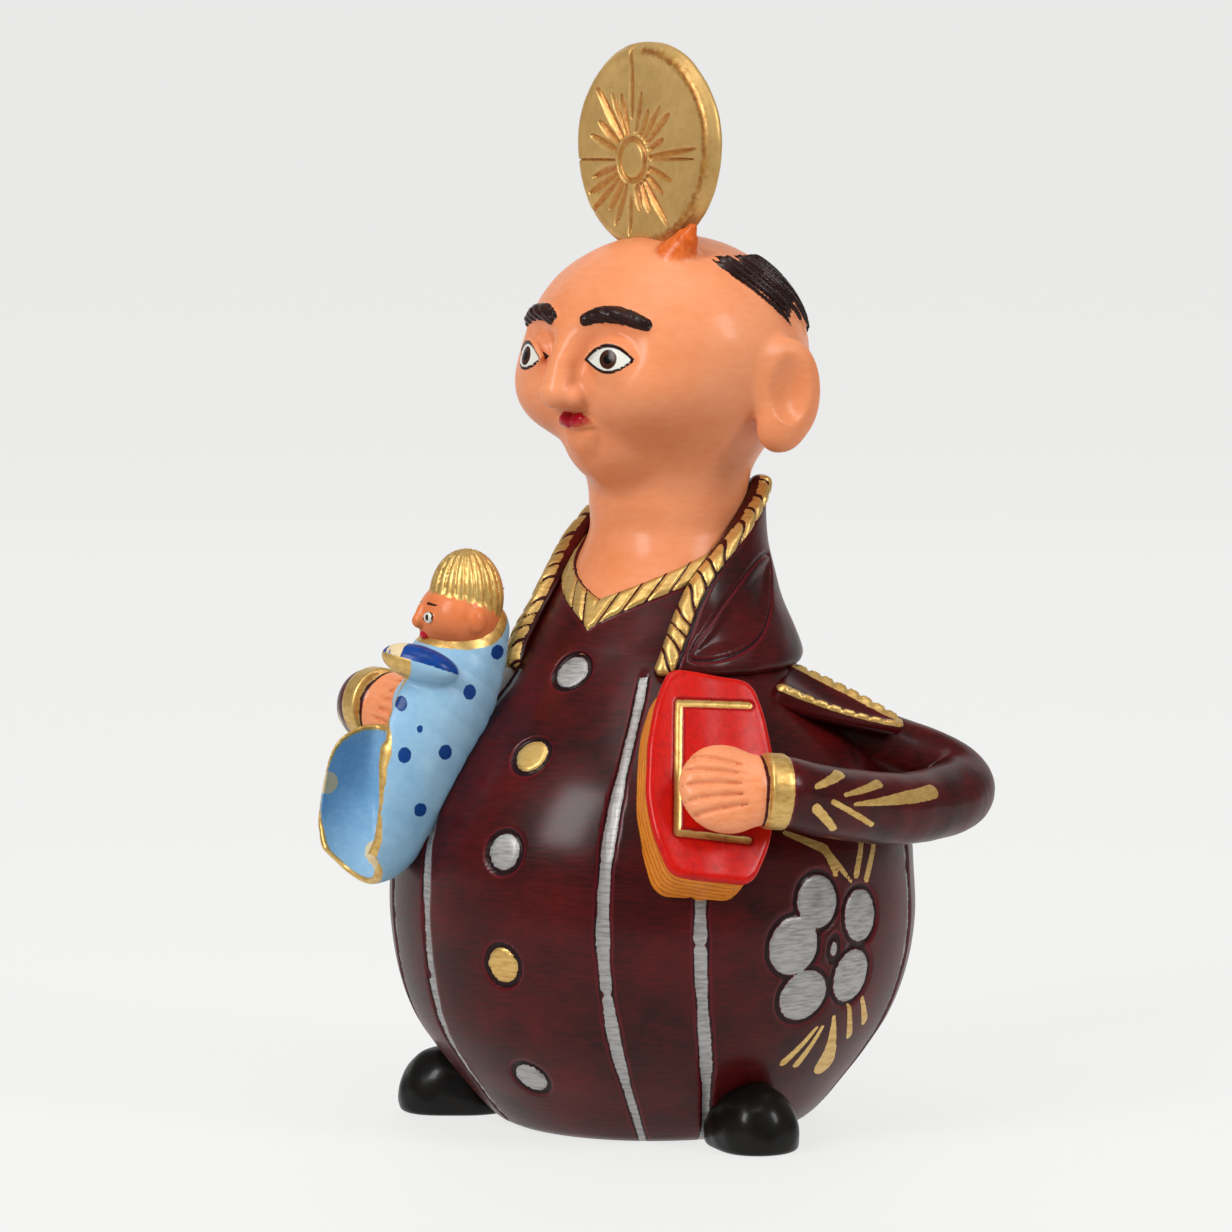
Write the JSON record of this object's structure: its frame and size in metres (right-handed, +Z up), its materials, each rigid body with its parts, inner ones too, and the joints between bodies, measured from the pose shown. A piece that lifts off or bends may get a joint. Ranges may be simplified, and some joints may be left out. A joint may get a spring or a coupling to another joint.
{
  "type": "ceramic statuette",
  "caption": "Hand-painted clay figure with a globe-shaped belly, hood and halo, holding a book and a swaddled child, standing on its flat underside and feet.",
  "frame": {"origin": "middle of the flat underside, on the surface that the figure stands on", "axes": "+Z up to the halo, -Y the way the figure's belly faces, +X the figure's left hand with the book"},
  "size_m": [0.1234, 0.1012, 0.1985],
  "materials": {
    "painted_clay": "semi-gloss hand-painted fired clay: wine robe, peach skin, gold and silver trims, red book, pale blue cloth, black feet"
  },
  "bodies": {
    "root": {"statuette": "painted_clay"}
  },
  "joints": []
}
